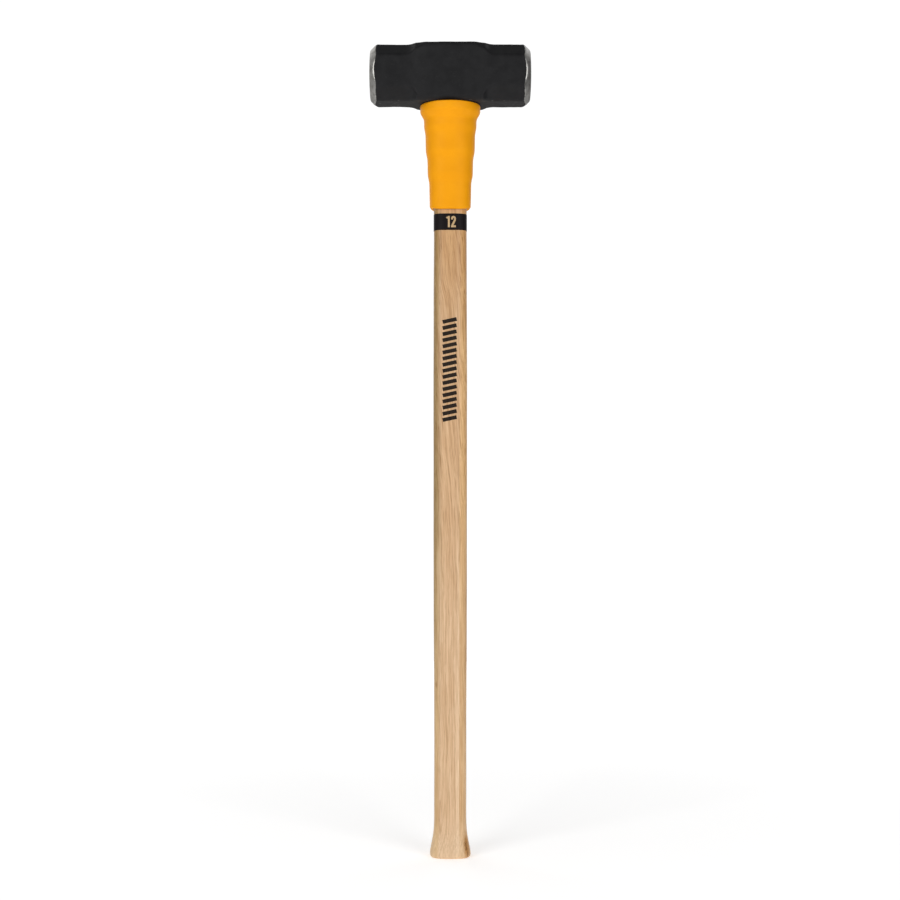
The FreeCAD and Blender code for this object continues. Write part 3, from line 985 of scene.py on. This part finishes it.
def build_guard():
    low, high = GUARD_LOW.z, GUARD_HIGH.z
    end = [low + v * MM for v in (0.02, 0.15, 0.4, 0.8, 1.3, 1.9)]
    body = levels_between(low + 2.6 * MM, high - RIM_ROUND, 0.9 * MM)
    sizes = stacked_sizes(node_tree_of("overstrike_guard"), end, body)
    shares = seamed_shares(GUARD_POINTS, 2 * math.pi * GUARD_HIGH.x)
    sleeve = guard_sleeve(end + body, sizes, shares)
    rings = sleeve + guard_rim(sleeve[-1]) + guard_bore(shares)
    for ring in rings:
        sideways = np.abs(ring[:, 0]) / norm(ring[:, :2], axis=1)
        fade = 1 - smooth_step((ring[:, 2] - low) / SIDE_LIFT_FADE)
        ring[:, 2] += SIDE_LIFT * sideways ** 5 * fade
    verts, faces = looped_tube(rings)
    guard = new_piece("overstrike_guard_moulded", verts, faces, "guard")
    return finish_piece(guard, "guard_yellow", "overstrike_guard")


# ---- band and marks ----
BAND_SKIN = 0.3 * MM  # how far the band stands off the wood
BAND_SOFT, BAND_SOFT_RISE = 0.05 * MM, 0.12 * MM
NUMERAL_HEIGHT, NUMERAL_WIDTH, NUMERAL_STROKE = 12.6 * MM, 5.4 * MM, 2.1 * MM
NUMERAL_GAP, NUMERALS_X = 1.1 * MM, 0.9 * MM
NUMERAL_LIFT, BAR_LIFT = 0.06 * MM, 0.05 * MM
BARS_TOP, BARS_BOTTOM, BAR_COUNT = 608 * MM, 491 * MM, 17
BAR_LEFT, BAR_RIGHT, BAR_WIDTH, BAR_SLANT = -8.6 * MM, 7.2 * MM, 4.3 * MM, 1.7 * MM


def front_of(piece):
    """A function that gives the y of the piece's front surface at (x, z)."""
    tree = BVHTree.FromPolygons(*points_and_faces(piece))

    def surface(x, z):
        return tree.ray_cast(Vector((x, -REACH, z)), Vector((0, 1, 0)))[0].y

    return surface


def build_band():
    """A thin sleeve with soft edges, closed inside the wood."""
    low, high = BAND_LOW.z, BAND_HIGH.z
    size = np.array(half_sizes(node_tree_of("weight_band"), (low + high) / 2))
    steps = [(-BAND_SKIN * 3, low), (-BAND_SKIN * 0.4, low), (-BAND_SOFT, low + BAND_SOFT_RISE)]
    steps += [(0.0, z) for z in levels_between(low + 0.5 * MM, high - 0.5 * MM, 2 * MM)]
    steps += [(-BAND_SOFT, high - BAND_SOFT_RISE), (-BAND_SKIN * 0.4, high), (-BAND_SKIN * 3, high)]
    sizes = [size + grow for grow, _ in steps]
    rings = oval_rings([z for _, z in steps], sizes, HANDLE_SQUARENESS)
    verts, faces = looped_tube(rings)
    band = new_piece("weight_band_print", verts, faces, "band")
    return finish_piece(band, "band_black", "weight_band")


def ribbon(path, width, across=5):
    """A strip of points along a flat path, mitred at its bends: rows of (u, v) points."""
    path = np.array(path, float)
    ways = np.diff(path, axis=0)
    ways /= norm(ways, axis=1, keepdims=True)
    rows = []
    for k in range(len(path)):
        before, after = ways[max(k - 1, 0)], ways[min(k, len(ways) - 1)]
        middle = before + after
        middle /= norm(middle)
        side = np.array([-middle[1], middle[0]])
        stretch = 1 / max(0.35, float(side @ np.array([-after[1], after[0]])))
        offsets = np.linspace(-0.5, 0.5, across)[:, None] * width * stretch
        rows.append(path[k] + offsets * side)
    return rows


def plate_on_handle(rows, surface, lift):
    """Vertices and faces of a thin closed plate over rows of (x, z) points."""
    size = len(rows[0])
    flat = np.array([p for row in rows for p in row])
    fronts = [(x, surface(x, z) - lift, z) for x, z in flat]
    backs = [(x, surface(x, z) + lift, z) for x, z in flat]
    count = len(flat)
    faces = []
    for r in range(len(rows) - 1):
        for k in range(size - 1):
            a = r * size + k
            quad = (a, a + 1, a + size + 1, a + size)
            faces += [quad, tuple(count + i for i in quad[::-1])]
    border = list(range(size)) + [r * size + size - 1 for r in range(1, len(rows))]
    border += [count - 1 - k for k in range(1, size)]
    border += [r * size for r in range(len(rows) - 2, 0, -1)]
    for a, b in zip(border, border[1:] + border[:1]):
        faces.append((b, a, count + a, count + b))
    return fronts + backs, faces


def joined_plates(name, strips, surface, lift, material):
    """One piece from several strips of print."""
    verts, faces = [], []
    for rows in strips:
        more, quads = plate_on_handle(rows, surface, lift)
        faces += [tuple(i + len(verts) for i in quad) for quad in quads]
        verts += more
    return new_piece(name, verts, faces, material)


def along(points, step):
    """The same path with extra points, no further apart than step."""
    path = [points[0]]
    for a, b in zip(points, points[1:]):
        count = max(1, math.ceil(math.dist(a, b) / step))
        for i in range(1, count + 1):
            path.append(tuple(np.array(a) + (np.array(b) - np.array(a)) * i / count))
    return path


def numeral_one(middle_x, low, high):
    """Strips for a block 1 with a short flag."""
    half = NUMERAL_STROKE / 2
    stem_x = middle_x - NUMERAL_GAP / 2 - half - 0.9 * MM
    stem = along([(stem_x, high), (stem_x, low)], 1 * MM)
    flag = [(stem_x - half, high - 1.2 * MM), (stem_x - half - 1.5 * MM, high - 2.4 * MM)]
    return [ribbon(stem, NUMERAL_STROKE), ribbon(along(flag, 1 * MM), NUMERAL_STROKE * 0.9)]


def numeral_two(middle_x, low, high):
    """Strips for a block 2: a half circle and a slope, and its base."""
    stroke = NUMERAL_STROKE
    left = middle_x + NUMERAL_GAP / 2 - 0.5 * MM
    right = left + NUMERAL_WIDTH
    arc_radius = (NUMERAL_WIDTH - stroke) / 2
    arc_x, arc_z = (left + right) / 2, high - stroke / 2 - arc_radius
    path = [(arc_x - arc_radius, arc_z - 1.2 * MM)]
    for step in range(13):
        angle = math.pi - math.pi * step / 12
        path.append((arc_x + arc_radius * math.cos(angle), arc_z + arc_radius * math.sin(angle)))
    path.append((arc_x + arc_radius, arc_z - 1.6 * MM))
    path.append((left + stroke * 0.62, low + stroke))
    base = [(left, low + stroke / 2), (right, low + stroke / 2)]
    return [ribbon(along(line, 0.8 * MM), stroke) for line in (path, base)]


def weight_numerals(band):
    """The head's weight in pounds, in plain block numerals on the band."""
    middle = Vector((NUMERALS_X, (BAND_LOW.z + BAND_HIGH.z) / 2))
    low, high = middle.y - NUMERAL_HEIGHT / 2, middle.y + NUMERAL_HEIGHT / 2
    strips = numeral_one(middle.x, low, high) + numeral_two(middle.x, low, high)
    marks = joined_plates("weight_numerals", strips, front_of(band), NUMERAL_LIFT,
                          "mark_tan")
    return finish_piece(marks, "mark_tan")


def handle_mark(handle):
    """A plain printed run of slanted bars down the front of the handle."""
    pitch = (BARS_TOP - BARS_BOTTOM) / BAR_COUNT
    strips = []
    for k in range(BAR_COUNT):
        z = BARS_TOP - pitch * (k + 0.5)
        path = along([(BAR_LEFT, z - BAR_SLANT), (BAR_RIGHT, z + BAR_SLANT)], 1.2 * MM)
        strips.append(ribbon(path, BAR_WIDTH))
    mark = joined_plates("handle_bar_mark", strips, front_of(handle), BAR_LIFT, "ink")
    return finish_piece(mark, "band_black")


# ---- stage ----
AMBIENT_LEFT, AMBIENT_RIGHT = 0.40, 0.11
BACKDROP_LEVEL = 1.05
FLOOR_RADIUS = 1.7
FLOOR_EDGE_GLOW = 0.64  # with the lamps' light this comes to the backdrop's level
SOFTBOX_DISTANCE, SOFTBOX_AIM = 2.6, Vector((0, 0, 0.48))
SENSOR_WIDTH, FOCAL_LENGTH = 36.0, 65.38  # millimetres
CAMERA_PLACE = (-0.0003, -1.85, 0.4591)
SOFTBOXES = [  # name, degrees round from the front, up, size, power
    ("key", -36, 20, 1.3, 24),
    ("fill", 34, 12, 1.3, 24.5),
    ("back_left", -148, 28, 2.0, 11),
    ("back_right", 148, 28, 2.0, 11),
]


def build_floor():
    """A round pale floor that brightens outwards until it is as white as the backdrop."""
    s = Shader("studio_floor")
    mottle = s.noise(s.place, scale=0.004, detail=2.0)
    away = s.vector("LENGTH", s.place)
    glow = s.ramp(away, 150.0, FLOOR_RADIUS / MM, 0.42, FLOOR_EDGE_GLOW)
    s.set(Base_Color=s.mix(mottle, (0.90, 0.90, 0.90), (0.92, 0.92, 0.92)), Roughness=0.9)
    s.set(Specular_IOR_Level=0.0, Emission_Color=(1, 1, 1), Emission_Strength=glow)
    shares = even_shares(96)
    rings = [oval_ring(radius, radius, 2.0, shares, 0.0) for radius in (0.3, 0.8, FLOOR_RADIUS)]
    verts, faces = capped_tube(rings, (0, 0, 0))
    mesh = bpy.data.meshes.new("floor")
    mesh.from_pydata(verts, [], faces)
    mesh.materials.append(s.material)
    floor = placed("floor", mesh)


def build_world():
    """A white backdrop; what lights the object is dimmer, so that gloss stays low."""
    world = bpy.data.worlds.new("studio")
    bpy.context.scene.world = world
    s = Nodes(world)
    x = s.axes(s.node("TexCoord").outputs["Generated"])[0]
    ambient = s.node("MapRange", Value=x, From_Min=-1.0, To_Min=AMBIENT_LEFT, To_Max=AMBIENT_RIGHT)
    seen = s.node("LightPath").outputs["Is Camera Ray"]
    level = s.node("MapRange", Value=seen, To_Min=ambient.outputs["Result"], To_Max=BACKDROP_LEVEL)
    background = s.tree.nodes["Background"]
    s.fill(background, Color=(1, 1, 1), Strength=level.outputs["Result"])


def softbox(name, around, up, size, power):
    """A soft square lamp, aimed at the tool's middle from the given degrees round and up."""
    data = bpy.data.lights.new(name, "AREA")
    data.size, data.energy = size, power
    around, up = math.radians(around), math.radians(up)
    flat = math.cos(up)
    way = Vector((math.sin(around) * flat, -math.cos(around) * flat, math.sin(up)))
    lamp = placed(name, data)
    lamp.location = SOFTBOX_AIM + way * SOFTBOX_DISTANCE
    lamp.rotation_euler = way.to_track_quat("Z", "Y").to_euler()


def build_camera():
    """Level, at half the tool's height and two tool lengths in front of it."""
    data = bpy.data.cameras.new("camera")
    data.sensor_width, data.lens = SENSOR_WIDTH, FOCAL_LENGTH
    camera = placed("camera", data)
    camera.location = CAMERA_PLACE
    camera.rotation_euler = (math.radians(90), 0, 0)
    bpy.context.scene.camera = camera


MATERIALS = {
    "hickory": hickory_material(),
    "forged": forged_material(),
    "guard": guard_material(),
    "band": band_material(),
    "mark_tan": ink_material("mark_tan", (0.46, 0.31, 0.16), (0.62, 0.44, 0.25), 0.2),
    "ink": ink_material("mark_ink", (0.014, 0.010, 0.008), (0.030, 0.022, 0.016), 0.35),
    "wedge_steel": wedge_steel_material(),
    "wedge_wood": wedge_wood_material(),
}

build_camera()
handle = build_handle()
build_wedges()
build_head()
build_guard()
band = build_band()
weight_numerals(band)
handle_mark(handle)
build_floor()
build_world()
for name, around, up, size, power in SOFTBOXES:
    softbox(name, around, up, size, power)
bpy.context.scene.view_settings.view_transform = "Standard"
